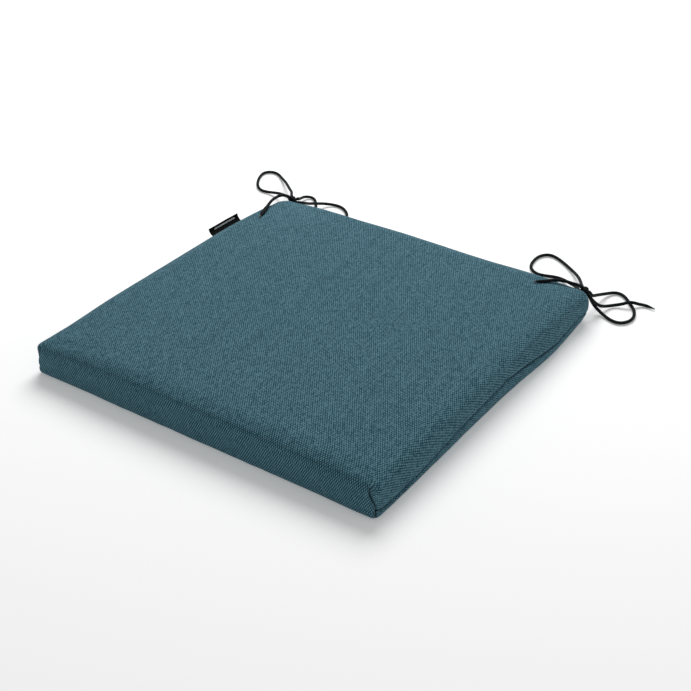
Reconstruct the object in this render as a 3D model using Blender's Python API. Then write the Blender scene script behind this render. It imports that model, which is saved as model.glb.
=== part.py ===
"""Square seat pad for a chair: a foam slab in a zipped fabric cover, tied on at its back corners.

Frame: metres, +Z up. The origin is the middle of the underside. The front edge faces -Y, and the
ties and the zip are at the back, +Y. A woven tab is sewn into the seam of the -X side.
"""
import math

import bmesh
import bpy
import numpy as np
from mathutils import Matrix, Vector

# Pad
PAD_SIDE = 0.460
EDGE_HEIGHT = 0.042
CROWN_RISE = 0.002
TOP_EDGE_RADIUS = 0.014
BOTTOM_EDGE_RADIUS = 0.004
FRONT_CORNER_RADIUS = 0.008
BACK_CORNER_RADIUS = 0.016
SMALLEST_CORNER_RADIUS = 0.004
CROWN_RING_SHARES = (0.25, 0.55, 0.85)
CORNER_SEGMENTS = 6
EDGE_SEGMENTS = 5
SHARPEST_SMOOTH_ANGLE = 35
GAP = 0.0003

# Cover: the top panel also wraps the front face, and meets the bottom panel low down there
FABRIC = 0.0008
SEAM_HEIGHT = 0.016
FRONT_SEAM_HEIGHT = 0.004
FRONT_WRAP_DEPTH = 0.009
FOAM_EASE = 0.0006
FOAM_BACK_EASE = 0.0035

# Zip in the back seam: two tapes behind the fabric, two coils between its lips
TAPE_THICKNESS = 0.0005
TAPE_WIDTH = 0.011
COIL_WIDTH = 0.0024
COIL_THICKNESS = 0.0018
COIL_BEVEL = 0.0005
CHAIN_GAP = 0.0012
CHAIN_HALF = 0.1765
STOP_LENGTH = 0.003
TAPE_HALF = 0.183
SLOT_HALF = 0.181
SLOT_HALF_HEIGHT = 0.005

# Slider and its pull, at the closed end of the zip
SLIDER_REST_X = 0.170
SLIDER_HALF_LENGTH = 0.0055
SLIDER_HALF_WIDTH = 0.0043
SLIDER_PLATE = 0.001
SLIDER_POST_HALF = 0.0003
ARCH_OUTER_RADIUS = 0.0022
ARCH_INNER_RADIUS = 0.0013
ARCH_HALF_WIDTH = 0.001
ARCH_SEGMENTS = 24
PULL_LENGTH = 0.024
PULL_HALF_WIDTH = 0.003
PULL_HALF_THICKNESS = 0.0005
PULL_BAR_HALF = 0.0006
PULL_WINDOW_END = 0.0027
PULL_WINDOW_HALF_WIDTH = 0.00135
PULL_GRIP_HOLE = (0.0145, 0.0205, 0.0012)
PULL_CUT_DEPTH = 0.002
PULL_END_ROUNDING = 0.0024

# Woven tab in the side seam
LABEL_FRONT_Y = 0.1115
LABEL_BACK_Y = 0.1670
LABEL_REACH = 0.032
LABEL_RISE = 0.013
LABEL_THICKNESS = 0.001
LABEL_STEPS = 6

# Ties: one doubled round cord at each back corner, in a bow
CORD_RADIUS = 0.002
CORD_STEP = 0.008
CORD_SIDES_RESOLUTION = 2
ROUTE_SAMPLES = 60
TIP_LENGTH = 0.011
TIP_RADIUS_SHARE = 0.35
STEM_X = (0.2146, 0.2194)
STEM_ROUTE = ((0.2305, 0.0160), (0.2328, 0.0161), (0.2356, 0.0175), (0.2376, 0.0201), (0.2384, 0.0250))
KNOT_CENTRE = (0.2183, 0.2390, 0.0323)
KNOT_RADII = (0.0060, 0.0050, 0.0057)
KNOT_SOCKET = 0.006
KNOT_SEGMENTS = (16, 10)
SOCKET_SEGMENTS = 12

RIGHT_LOOPS = {
    "tie_right_loop_a": (
        (0.2130, 0.2440, 0.0340), (0.2060, 0.2610, 0.0270), (0.1920, 0.2860, 0.0160),
        (0.1760, 0.3100, 0.0075), (0.1560, 0.3300, 0.0030), (0.1330, 0.3450, 0.0023),
        (0.1180, 0.3480, 0.0023), (0.1095, 0.3380, 0.0023), (0.1090, 0.3200, 0.0023),
        (0.1145, 0.3040, 0.0023), (0.1270, 0.2945, 0.0023), (0.1400, 0.2955, 0.0023),
        (0.1540, 0.2995, 0.0023), (0.1690, 0.2940, 0.0045), (0.1850, 0.2800, 0.0105),
        (0.1990, 0.2630, 0.0180), (0.2110, 0.2430, 0.0275)),
    "tie_right_loop_b": (
        (0.2220, 0.2445, 0.0315), (0.2225, 0.2525, 0.0215), (0.2220, 0.2670, 0.0140),
        (0.2225, 0.2840, 0.0075), (0.2260, 0.2985, 0.0033), (0.2325, 0.3060, 0.0023),
        (0.2425, 0.3045, 0.0023), (0.2565, 0.2920, 0.0023), (0.2675, 0.2795, 0.0023),
        (0.2740, 0.2650, 0.0023), (0.2735, 0.2510, 0.0023), (0.2655, 0.2415, 0.0023),
        (0.2535, 0.2420, 0.0023), (0.2405, 0.2475, 0.0036), (0.2310, 0.2495, 0.0080),
        (0.2255, 0.2480, 0.0150), (0.2236, 0.2430, 0.0240)),
}
RIGHT_TAILS = {
    "tie_right_tail_a": (
        (0.2254, 0.2370, 0.0290), (0.2290, 0.2385, 0.0240), (0.2320, 0.2445, 0.0170),
        (0.2345, 0.2540, 0.0095), (0.2380, 0.2660, 0.0045), (0.2435, 0.2755, 0.0030),
        (0.2515, 0.2810, 0.0048), (0.2595, 0.2865, 0.0070), (0.2670, 0.2935, 0.0040),
        (0.2750, 0.2975, 0.0024), (0.2880, 0.2960, 0.0023)),
    "tie_right_tail_b": (
        (0.2140, 0.2348, 0.0390), (0.2085, 0.2280, 0.0434), (0.1985, 0.2250, 0.0454),
        (0.1875, 0.2210, 0.0453), (0.1780, 0.2120, 0.0448), (0.1700, 0.1985, 0.0447)),
}
LEFT_LOOPS = {
    "tie_left_loop_a": (
        (-0.2240, 0.2440, 0.0345), (-0.2420, 0.2670, 0.0265), (-0.2665, 0.2940, 0.0160),
        (-0.2940, 0.3215, 0.0075), (-0.3160, 0.3395, 0.0030), (-0.3300, 0.3475, 0.0023),
        (-0.3410, 0.3465, 0.0023), (-0.3465, 0.3385, 0.0023), (-0.3445, 0.3270, 0.0023),
        (-0.3385, 0.3140, 0.0023), (-0.3290, 0.3005, 0.0023), (-0.3185, 0.2915, 0.0023),
        (-0.3085, 0.2890, 0.0023), (-0.2960, 0.2895, 0.0035), (-0.2775, 0.2840, 0.0090),
        (-0.2560, 0.2700, 0.0170), (-0.2365, 0.2535, 0.0250), (-0.2260, 0.2420, 0.0295)),
    "tie_left_loop_b": (
        (-0.2168, 0.2460, 0.0320), (-0.2260, 0.2615, 0.0230), (-0.2365, 0.2805, 0.0140),
        (-0.2440, 0.2940, 0.0075), (-0.2465, 0.3030, 0.0045), (-0.2430, 0.3095, 0.0028),
        (-0.2355, 0.3095, 0.0023), (-0.2255, 0.3005, 0.0023), (-0.2140, 0.2855, 0.0023),
        (-0.2040, 0.2700, 0.0023), (-0.1985, 0.2575, 0.0030), (-0.2015, 0.2495, 0.0085),
        (-0.2075, 0.2450, 0.0158), (-0.2114, 0.2426, 0.0242)),
}
LEFT_TAILS = {
    "tie_left_tail_a": (
        (-0.2108, 0.2376, 0.0318), (-0.2080, 0.2425, 0.0304), (-0.2074, 0.2495, 0.0270),
        (-0.2095, 0.2635, 0.0200), (-0.2113, 0.2775, 0.0140), (-0.2118, 0.2900, 0.0088),
        (-0.2087, 0.3020, 0.0045), (-0.1995, 0.3090, 0.0024), (-0.1880, 0.3090, 0.0023),
        (-0.1770, 0.3035, 0.0023), (-0.1660, 0.2925, 0.0023), (-0.1610, 0.2810, 0.0023),
        (-0.1580, 0.2700, 0.0023)),
    "tie_left_tail_b": (
        (-0.2218, 0.2340, 0.0386), (-0.2264, 0.2260, 0.0424), (-0.2280, 0.2155, 0.0432),
        (-0.2257, 0.2020, 0.0435), (-0.2200, 0.1860, 0.0442), (-0.2136, 0.1690, 0.0446),
        (-0.2060, 0.1505, 0.0448)),
}

# Worked out from the above
PAD_HALF = PAD_SIDE / 2
TAPE_FRONT_Y = PAD_HALF - FABRIC - GAP
TAPE_BACK_Y = TAPE_FRONT_Y - TAPE_THICKNESS
COIL_BACK_Y = TAPE_FRONT_Y + GAP
COIL_FRONT_Y = COIL_BACK_Y + COIL_THICKNESS
PLATE_INNER_Y = COIL_FRONT_Y + GAP
PLATE_OUTER_Y = PLATE_INNER_Y + SLIDER_PLATE
BACK_PLATE_OUTER_Y = TAPE_BACK_Y - GAP
BACK_PLATE_INNER_Y = BACK_PLATE_OUTER_Y - SLIDER_PLATE
PULL_AXIS_Y = PLATE_OUTER_Y + ARCH_INNER_RADIUS
COIL_EDGE = CHAIN_GAP / 2 + COIL_WIDTH


def clear_scene():
    for thing in list(bpy.data.objects):
        bpy.data.objects.remove(thing, do_unlink=True)


def make_material(name, colour, roughness, metallic=0.0):
    finish = bpy.data.materials.new(name)
    finish.use_nodes = True
    shader = finish.node_tree.nodes["Principled BSDF"]
    shader.inputs["Base Color"].default_value = (*colour, 1.0)
    shader.inputs["Roughness"].default_value = roughness
    shader.inputs["Metallic"].default_value = metallic
    return finish


def add_object(name, data, finish=None):
    thing = bpy.data.objects.new(name, data)
    bpy.context.collection.objects.link(thing)
    if finish is not None:
        data.materials.append(finish)
    return thing


def mesh_object(name, shape, finish=None):
    """Turn a bmesh into a named object, with its faces pointing out."""
    bmesh.ops.recalc_face_normals(shape, faces=shape.faces)
    mesh = bpy.data.meshes.new(name)
    shape.to_mesh(mesh)
    shape.free()
    return add_object(name, mesh, finish)


def box_object(name, low, high, finish=None):
    shape = bmesh.new()
    size = [high[i] - low[i] for i in range(3)]
    middle = [(high[i] + low[i]) / 2 for i in range(3)]
    place = Matrix.Translation(middle) @ Matrix.Diagonal((*size, 1.0))
    bmesh.ops.create_cube(shape, size=1.0, matrix=place)
    return mesh_object(name, shape, finish)


def hide_helper(helper):
    helper.hide_render = True
    helper.display_type = "WIRE"


def combine(target, helper, operation):
    """Cut the helper out of the target, or unite the two."""
    hide_helper(helper)
    boolean = target.modifiers.new(helper.name, "BOOLEAN")
    boolean.operation = operation
    boolean.solver = "EXACT"
    boolean.object = helper


def smooth(thing):
    thing.data.shade_smooth()
    thing.data.set_sharp_from_angle(angle=math.radians(SHARPEST_SMOOTH_ANGLE))


# The pad's body and its cover

def pad_outline(inset, back_relief):
    """Plan of the pad, drawn in by inset: a square with its own radius for front and back corners."""
    half = PAD_HALF - inset
    back = half - back_relief
    front_radius = max(FRONT_CORNER_RADIUS - inset, SMALLEST_CORNER_RADIUS)
    back_radius = max(BACK_CORNER_RADIUS - inset, SMALLEST_CORNER_RADIUS)
    corners = (
        (half - front_radius, -half + front_radius, front_radius, -90),
        (half - back_radius, back - back_radius, back_radius, 0),
        (-half + back_radius, back - back_radius, back_radius, 90),
        (-half + front_radius, -half + front_radius, front_radius, 180),
    )
    points = []
    for x, y, radius, start in corners:
        for step in range(CORNER_SEGMENTS + 1):
            angle = math.radians(start + 90 * step / CORNER_SEGMENTS)
            points.append((x + radius * math.cos(angle), y + radius * math.sin(angle)))
    return points


def pad_profile(shrink):
    """Inset and height of each ring of the pad, from its underside up and over to the crown."""
    low = BOTTOM_EDGE_RADIUS - shrink
    high = TOP_EDGE_RADIUS - shrink
    shoulder = EDGE_HEIGHT - TOP_EDGE_RADIUS
    rings = []
    for step in range(EDGE_SEGMENTS + 1):
        angle = math.pi / 2 * step / EDGE_SEGMENTS
        rings.append((shrink + low * (1 - math.sin(angle)), BOTTOM_EDGE_RADIUS - low * math.cos(angle)))
    for step in range(EDGE_SEGMENTS + 1):
        angle = math.pi / 2 * step / EDGE_SEGMENTS
        rings.append((shrink + high * (1 - math.cos(angle)), shoulder + high * math.sin(angle)))
    for share in CROWN_RING_SHARES:
        rise = CROWN_RISE * (1 - (1 - share) ** 2)
        rings.append((TOP_EDGE_RADIUS + share * (PAD_HALF - TOP_EDGE_RADIUS), EDGE_HEIGHT - shrink + rise))
    return rings


def pad_solid(name, shrink, back_relief=0.0, finish=None):
    """The pad's whole form, drawn in all round by shrink."""
    shape = bmesh.new()
    loops = []
    for inset, height in pad_profile(shrink):
        loops.append([shape.verts.new((x, y, height)) for x, y in pad_outline(inset, back_relief)])
    count = len(loops[0])
    for lower, upper in zip(loops, loops[1:]):
        for i in range(count):
            j = (i + 1) % count
            shape.faces.new((lower[i], lower[j], upper[j], upper[i]))
    shape.faces.new(list(reversed(loops[0])))
    shape.faces.new(loops[-1])
    return mesh_object(name, shape, finish)


def seam_region(name, drop, far_height):
    """All that lies on one side of the seam line: a stepped profile run across the pad's width."""
    reach = PAD_SIDE
    step_y = -PAD_HALF + FRONT_WRAP_DEPTH + drop
    profile = (
        (-reach, far_height),
        (-reach, FRONT_SEAM_HEIGHT - drop),
        (step_y, FRONT_SEAM_HEIGHT - drop),
        (step_y, SEAM_HEIGHT - drop),
        (reach, SEAM_HEIGHT - drop),
        (reach, far_height),
    )
    shape = bmesh.new()
    face = shape.faces.new([shape.verts.new((-reach, y, z)) for y, z in profile])
    grown = bmesh.ops.extrude_face_region(shape, geom=[face])
    moved = [item for item in grown["geom"] if isinstance(item, bmesh.types.BMVert)]
    bmesh.ops.translate(shape, verts=moved, vec=(2 * reach, 0, 0))
    return mesh_object(name, shape)


def cover_panel(name, drop, far_height, fabric):
    """One panel of the cover: the pad's skin, less what lies beyond the seam and behind the zip."""
    panel = pad_solid(name, 0.0, finish=fabric)
    combine(panel, pad_solid(f"{name}_inside", FABRIC), "DIFFERENCE")
    combine(panel, seam_region(f"{name}_beyond_seam", drop, far_height), "DIFFERENCE")
    slot = box_object(
        f"{name}_zip_slot",
        (-SLOT_HALF, PAD_HALF - 3 * FABRIC, SEAM_HEIGHT - SLOT_HALF_HEIGHT),
        (SLOT_HALF, PAD_HALF + FABRIC, SEAM_HEIGHT + SLOT_HALF_HEIGHT))
    combine(panel, slot, "DIFFERENCE")
    smooth(panel)


# The zip

def make_zip(tape, coil, metal):
    for side, name in ((1, "upper"), (-1, "lower")):
        inner = SEAM_HEIGHT + side * CHAIN_GAP / 2
        tape_edge = inner + side * TAPE_WIDTH
        coil_edge = inner + side * COIL_WIDTH
        box_object(
            f"zip_tape_{name}",
            (-TAPE_HALF, TAPE_BACK_Y, min(inner, tape_edge)),
            (TAPE_HALF, TAPE_FRONT_Y, max(inner, tape_edge)), tape)
        strand = box_object(
            f"zip_coil_{name}",
            (-CHAIN_HALF, COIL_BACK_Y, min(inner, coil_edge)),
            (CHAIN_HALF, COIL_FRONT_Y, max(inner, coil_edge)), coil)
        rounding = strand.modifiers.new("rounding", "BEVEL")
        rounding.width = COIL_BEVEL
        rounding.segments = 2
    for side, name in ((1, "closed"), (-1, "open")):
        near = side * (CHAIN_HALF + GAP)
        far = side * (CHAIN_HALF + GAP + STOP_LENGTH)
        box_object(
            f"zip_stop_{name}_end",
            (min(near, far), COIL_BACK_Y, SEAM_HEIGHT - COIL_EDGE),
            (max(near, far), COIL_FRONT_Y, SEAM_HEIGHT + COIL_EDGE), metal)


def slider_box(name, x_range, y_range, z_range, finish=None):
    """A box whose x and z are counted from the slider's middle, on the seam line."""
    return box_object(
        name,
        (SLIDER_REST_X + x_range[0], y_range[0], SEAM_HEIGHT + z_range[0]),
        (SLIDER_REST_X + x_range[1], y_range[1], SEAM_HEIGHT + z_range[1]), finish)


def arch_cylinder(name, radius, half_width):
    shape = bmesh.new()
    place = Matrix.Translation((SLIDER_REST_X, PULL_AXIS_Y, SEAM_HEIGHT))
    bmesh.ops.create_cone(
        shape, cap_ends=True, segments=ARCH_SEGMENTS, radius1=radius, radius2=radius,
        depth=2 * half_width, matrix=place)
    return mesh_object(name, shape)


def make_slider(metal):
    """Two plates joined by a post between the tapes, side flanges, and an arch that holds the pull."""
    length = (-SLIDER_HALF_LENGTH, SLIDER_HALF_LENGTH)
    width = (-SLIDER_HALF_WIDTH, SLIDER_HALF_WIDTH)
    slider = slider_box("zip_slider", length, (PLATE_INNER_Y, PLATE_OUTER_Y), width, metal)
    overlap = SLIDER_PLATE / 2
    back = slider_box("slider_back_plate", length, (BACK_PLATE_INNER_Y, BACK_PLATE_OUTER_Y), width)
    post = slider_box(
        "slider_post", (SLIDER_HALF_LENGTH / 3, SLIDER_HALF_LENGTH),
        (BACK_PLATE_OUTER_Y - overlap, PLATE_INNER_Y + overlap), (-SLIDER_POST_HALF, SLIDER_POST_HALF))
    combine(post, back, "UNION")
    combine(slider, post, "UNION")
    for side, name in ((1, "upper"), (-1, "lower")):
        near = side * (COIL_EDGE + GAP)
        far = side * SLIDER_HALF_WIDTH
        flange = slider_box(
            f"slider_flange_{name}", length, (TAPE_FRONT_Y + GAP, PLATE_INNER_Y + overlap),
            (min(near, far), max(near, far)))
        combine(slider, flange, "UNION")
    arch = arch_cylinder("slider_arch", ARCH_OUTER_RADIUS, ARCH_HALF_WIDTH)
    combine(arch, arch_cylinder("slider_arch_hole", ARCH_INNER_RADIUS, 2 * ARCH_HALF_WIDTH), "DIFFERENCE")
    combine(slider, arch, "UNION")


def make_pull(metal):
    """A flat leaf that swings on the slider's arch: built on its hinge axis, then put in place."""
    shape = bmesh.new()
    middle_x = (PULL_BAR_HALF - PULL_LENGTH) / 2
    size = (PULL_LENGTH + PULL_BAR_HALF, 2 * PULL_HALF_THICKNESS, 2 * PULL_HALF_WIDTH)
    place = Matrix.Translation((middle_x, 0, 0)) @ Matrix.Diagonal((*size, 1.0))
    bmesh.ops.create_cube(shape, size=1.0, matrix=place)
    far_edges = [
        edge for edge in shape.edges
        if all(vert.co.x < -PULL_LENGTH / 2 for vert in edge.verts)
        and edge.verts[0].co.z == edge.verts[1].co.z]
    bmesh.ops.bevel(
        shape, geom=far_edges, offset=PULL_END_ROUNDING, segments=5, affect="EDGES", profile=0.5)
    pull = mesh_object("zip_pull", shape, metal)
    pull.location = (SLIDER_REST_X, PULL_AXIS_Y, SEAM_HEIGHT)
    through = (PULL_AXIS_Y - PULL_CUT_DEPTH, PULL_AXIS_Y + PULL_CUT_DEPTH)
    window = slider_box(
        "pull_window", (-PULL_WINDOW_END, -PULL_BAR_HALF), through,
        (-PULL_WINDOW_HALF_WIDTH, PULL_WINDOW_HALF_WIDTH))
    near, far, half = PULL_GRIP_HOLE
    grip = slider_box("pull_grip_hole", (-far, -near), through, (-half, half))
    combine(pull, window, "DIFFERENCE")
    combine(pull, grip, "DIFFERENCE")


# The tab

def make_label(woven):
    """A folded strip that leaves the side seam and rises a little towards its fold."""
    shape = bmesh.new()
    profile = []
    for side in (1, -1):
        steps = range(LABEL_STEPS + 1)
        for step in (steps if side > 0 else reversed(steps)):
            share = step / LABEL_STEPS
            x = -PAD_HALF - GAP - LABEL_REACH * share
            z = SEAM_HEIGHT + LABEL_RISE * share ** 1.2 + side * LABEL_THICKNESS / 2
            profile.append((x, z))
    face = shape.faces.new([shape.verts.new((x, LABEL_FRONT_Y, z)) for x, z in profile])
    grown = bmesh.ops.extrude_face_region(shape, geom=[face])
    moved = [item for item in grown["geom"] if isinstance(item, bmesh.types.BMVert)]
    bmesh.ops.translate(shape, verts=moved, vec=(0, LABEL_BACK_Y - LABEL_FRONT_Y, 0))
    mesh_object("label_tab", shape, woven)


# The ties

def smooth_route(points, step):
    """Points about one step apart on the natural cubic spline through a route's own points."""
    route = np.array(points)
    spans = np.sqrt(np.linalg.norm(np.diff(route, axis=0), axis=1))
    times = np.concatenate(([0.0], np.cumsum(spans)))
    count = len(route)
    system = np.eye(count)
    slopes = np.zeros((count, 3))
    for i in range(1, count - 1):
        system[i, i - 1:i + 2] = (spans[i - 1], 2 * (spans[i - 1] + spans[i]), spans[i])
        after = (route[i + 1] - route[i]) / spans[i]
        before = (route[i] - route[i - 1]) / spans[i - 1]
        slopes[i] = 6 * (after - before)
    bends = np.linalg.solve(system, slopes)
    fine = []
    for i, span in enumerate(spans):
        for share in np.linspace(0, 1, ROUTE_SAMPLES, endpoint=False):
            rest = 1 - share
            curve = (rest ** 3 - rest) * bends[i] + (share ** 3 - share) * bends[i + 1]
            fine.append(rest * route[i] + share * route[i + 1] + curve * span ** 2 / 6)
    fine.append(route[-1])
    fine = np.array(fine)
    lengths = np.concatenate(([0.0], np.cumsum(np.linalg.norm(np.diff(fine, axis=0), axis=1))))
    marks = np.linspace(0, lengths[-1], max(4, round(lengths[-1] / step) + 1))
    return np.stack([np.interp(marks, lengths, fine[:, axis]) for axis in range(3)], axis=1)


def cord_tube(name, route, finish, step=CORD_STEP, tapered=False):
    """A round cord along its route, drawn to a sealed point at the far end where it is a tail."""
    points = smooth_route(route, step)
    curve = bpy.data.curves.new(name, "CURVE")
    curve.dimensions = "3D"
    curve.bevel_depth = CORD_RADIUS
    curve.bevel_resolution = CORD_SIDES_RESOLUTION
    curve.use_fill_caps = True
    line = curve.splines.new("POLY")
    line.points.add(len(points) - 1)
    for place, point in zip(line.points, points):
        place.co = (*point, 1.0)
        if tapered:
            to_end = np.linalg.norm(point - points[-1])
            share = min(to_end / TIP_LENGTH, 1.0)
            place.radius = TIP_RADIUS_SHARE + (1 - TIP_RADIUS_SHARE) * share
    add_object(name, curve, finish)
    return points


def knot_socket(name, mouth, inward):
    """A stub of cord from the knot's middle out to the mouth, where a strand meets it face to face."""
    inward = Vector(inward).normalized()
    start = Vector(mouth) + inward * GAP
    middle = start + inward * KNOT_SOCKET / 2
    turn = inward.to_track_quat("Z", "Y").to_matrix().to_4x4()
    shape = bmesh.new()
    bmesh.ops.create_cone(
        shape, cap_ends=True, segments=SOCKET_SEGMENTS, radius1=CORD_RADIUS, radius2=CORD_RADIUS,
        depth=KNOT_SOCKET, matrix=Matrix.Translation(middle) @ turn)
    return mesh_object(name, shape)


def make_tie(side, side_name, loops, tails, cord):
    """Two stems from the seam, a knot, two loops and two tails."""
    mouths = []
    for letter, stem_x in zip("ab", STEM_X):
        route = [(side * stem_x, y, z) for y, z in STEM_ROUTE]
        points = cord_tube(f"tie_{side_name}_stem_{letter}", route, cord, step=CORD_STEP / 4)
        mouths.append((points[-1], points[-1] - points[-2]))
    for name, route in loops.items():
        points = cord_tube(name, route, cord)
        mouths.append((points[0], points[0] - points[1]))
        mouths.append((points[-1], points[-1] - points[-2]))
    for name, route in tails.items():
        points = cord_tube(name, route, cord, step=CORD_STEP / 2, tapered=True)
        mouths.append((points[0], points[0] - points[1]))
    shape = bmesh.new()
    centre = (side * KNOT_CENTRE[0], KNOT_CENTRE[1], KNOT_CENTRE[2])
    place = Matrix.Translation(centre) @ Matrix.Diagonal((*KNOT_RADII, 1.0))
    around, along = KNOT_SEGMENTS
    bmesh.ops.create_uvsphere(shape, u_segments=around, v_segments=along, radius=1.0, matrix=place)
    knot = mesh_object(f"tie_{side_name}_knot", shape, cord)
    for number, (mouth, inward) in enumerate(mouths):
        combine(knot, knot_socket(f"knot_{side_name}_socket_{number}", mouth, inward), "UNION")


def main():
    clear_scene()
    fabric = make_material("cover_fabric", (0.060, 0.145, 0.185), 0.9)
    foam = make_material("seat_foam", (0.78, 0.74, 0.62), 0.95)
    cord = make_material("tie_cord", (0.012, 0.014, 0.016), 0.7)
    woven = make_material("label_weave", (0.008, 0.008, 0.009), 0.6)
    tape = make_material("zip_tape", (0.020, 0.050, 0.065), 0.85)
    coil = make_material("zip_coil", (0.018, 0.042, 0.055), 0.4)
    metal = make_material("zip_metal", (0.05, 0.052, 0.055), 0.35, 1.0)

    pad_solid("foam_core", FABRIC + FOAM_EASE, FOAM_BACK_EASE - FABRIC - FOAM_EASE, foam)
    cover_panel("cover_top_panel", 0.0, -PAD_SIDE, fabric)
    cover_panel("cover_bottom_panel", GAP, PAD_SIDE, fabric)
    make_zip(tape, coil, metal)
    make_slider(metal)
    make_pull(metal)
    make_label(woven)
    make_tie(1, "right", RIGHT_LOOPS, RIGHT_TAILS, cord)
    make_tie(-1, "left", LEFT_LOOPS, LEFT_TAILS, cord)


main()
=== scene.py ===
"""Looks of a square seat pad: a woven cover over foam, corded ties, a tab and a zip.

Frame: metres, +Z up, the origin in the middle of the underside. The front edge faces -Y, the ties
and the zip are at +Y, and the tab is on the -X side.
"""
import math

import bmesh
import bpy
import numpy as np
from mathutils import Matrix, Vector, noise
from mathutils.bvhtree import BVHTree


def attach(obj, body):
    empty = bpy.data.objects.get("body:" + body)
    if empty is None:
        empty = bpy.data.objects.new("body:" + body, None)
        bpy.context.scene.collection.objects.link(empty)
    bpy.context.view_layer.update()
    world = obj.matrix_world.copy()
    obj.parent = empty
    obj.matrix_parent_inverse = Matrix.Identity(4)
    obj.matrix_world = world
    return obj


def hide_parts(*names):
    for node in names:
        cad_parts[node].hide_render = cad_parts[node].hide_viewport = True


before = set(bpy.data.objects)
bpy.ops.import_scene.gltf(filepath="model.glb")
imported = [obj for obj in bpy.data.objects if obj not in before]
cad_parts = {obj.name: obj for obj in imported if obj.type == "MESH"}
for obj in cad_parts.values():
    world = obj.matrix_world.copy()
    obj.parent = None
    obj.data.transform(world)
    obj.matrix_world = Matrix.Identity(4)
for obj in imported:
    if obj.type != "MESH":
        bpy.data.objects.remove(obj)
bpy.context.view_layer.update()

# Pad: plan half width, and the height of the top at its edge and at the seam
PAD_HALF = 0.230
EDGE_HEIGHT = 0.042
TOP_ROLL = 0.024
TOP_ROLL_DROP = 0.010
TOP_ROLL_FULLNESS = 2.5
FRONT_CORNER = 0.008
BACK_CORNER = 0.012
LEFT_BACK_CORNER = 0.018
UNDER_INSET = 0.006
UNDER_EDGE_INSET = 0.009
UNDER_SEAM_INSET = 0.008
FRONT_BOTTOM_RADIUS = 0.005
CREASE_DEPTH = 0.0036
LIP_HEM, SEAM_ALLOWANCE = 0.003, 0.0022
ZIP_HEIGHT = 0.016
LIP_OFFSETS = (0.0062, 0.0053, 0.0050, 0.0, -0.0050, -0.0053, -0.0062)
LIP_INSETS = (0.0, 0.00025, 0.00095, 0.00095, 0.00095, 0.00025, 0.0)
LIP_STRAIGHT = 0.1805
LIP_END = 0.186
FRONT_DART_SHIFT = 0.007
BACK_DART_SHIFT = 0.010
FLAT_HALF = PAD_HALF - TOP_ROLL
SHOULDER = EDGE_HEIGHT - TOP_ROLL_DROP
CORNER_RADII = (FRONT_CORNER, FRONT_CORNER, BACK_CORNER, LEFT_BACK_CORNER)

# Filling: the crown, its drop at the corners, its flatter cap, and how the sides leave the straight
CROWN_HEIGHT, CROWN_CORNER_DROP, CROWN_CAP = 0.0045, 0.0050, 0.0015
SIDE_PULL = (0.0018, 0.0, 0.0004, 0.0)
RIGHT_BULGE, RIGHT_BULGE_PLACE, RIGHT_BULGE_WIDTH = 0.0034, 0.125, 0.055
BACK_PUFF, PUFF_REACH, PUFF_HEIGHT, PUFF_HALF_HEIGHT = 0.0052, 0.021, 0.022, 0.012
FOAM_SHRINK = 0.0045

# Darts: the half width of the stitched groove and its depth at the front and at the back
DART_HALF_WIDTH = 0.0008
FRONT_DART_DEPTH, BACK_DART_DEPTH = 0.0022, 0.0012

# Swelling: steps of simulation, the most that a point may move, and the cloth's settings
RELAX_FRAMES = 20
RELAX_CAP = 0.0012
CLOTH_SETTINGS = {
    "quality": 5, "mass": 0.3, "tension_stiffness": 20, "compression_stiffness": 20,
    "shear_stiffness": 8, "bending_stiffness": 1.5, "use_pressure": True,
    "uniform_pressure_force": 4}

# Mesh of the cover: marks across it are close together near the corners
MIDDLE_HALF = 0.184
MIDDLE_CELLS = 92
END_SHARES = (0.0, 0.14, 0.27, 0.39, 0.50, 0.60, 0.69, 0.77, 0.84, 0.90, 0.945, 0.98, 1.0)
ROLL_STEPS = 10
SEAM_OFFSETS = (0.0024, 0.0012, 0.0005, 0.0, -0.0005, -0.0012, -0.0024)
STRIP_STEPS = 6
UNDER_INSETS = (0.0070, 0.0076, 0.0080, 0.0084, 0.0090)
SEAM_ROW = ROLL_STEPS + 3 + 4
UNDER_SEAM_ROW = SEAM_ROW + 3 + STRIP_STEPS + 3

# Seam height along each side, from its start to its end, going round from the front edge
SEAM_HEIGHTS = {
    "front": ((-0.230, 0.011), (-0.200, 0.014), (0.200, 0.014), (0.230, 0.011)),
    "right": (
        (-0.230, 0.0110), (-0.205, 0.0085), (-0.185, 0.0080), (-0.135, 0.0110), (-0.063, 0.0176),
        (0.025, 0.0210), (0.090, 0.0168), (0.145, 0.0122), (0.175, 0.0130), (0.200, 0.0140),
        (0.230, 0.0150)),
    "back": ((-0.230, 0.0120), (-0.205, 0.0155), (-0.190, ZIP_HEIGHT), (0.190, ZIP_HEIGHT),
             (0.205, 0.0155), (0.230, 0.0120)),
    "left": (
        (-0.230, 0.0120), (-0.190, 0.0110), (-0.140, 0.0150), (-0.060, 0.0165), (0.030, 0.0185),
        (0.110, 0.0160), (0.170, 0.0155), (0.205, 0.0120), (0.230, 0.0110)),
}
SIDES = ("front", "right", "back", "left")

# Fuller and emptier places of the filling: x, y, width and rise
UNEVEN_FILLING = (
    (-0.200, 0.110, 0.090, 0.0030), (-0.215, -0.190, 0.050, -0.0016), (0.060, 0.215, 0.070, -0.0010),
    (-0.222, 0.222, 0.035, -0.0020), (0.170, 0.222, 0.050, 0.0022))

# Weave: the pitch of the single warp yarns and of the paired weft yarns, and the lean of the warp
WARP_PITCH = 0.001344
WEFT_PITCH = 0.00238
WARP_LEAN = 0.086
FRONT_SHEAR = 0.19
BOTTOM_CLOTH_SHIFT = (0.9137, 0.3711)
BRAID_PITCH = 0.0042
BRAID_ROUND = 0.0126

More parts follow.
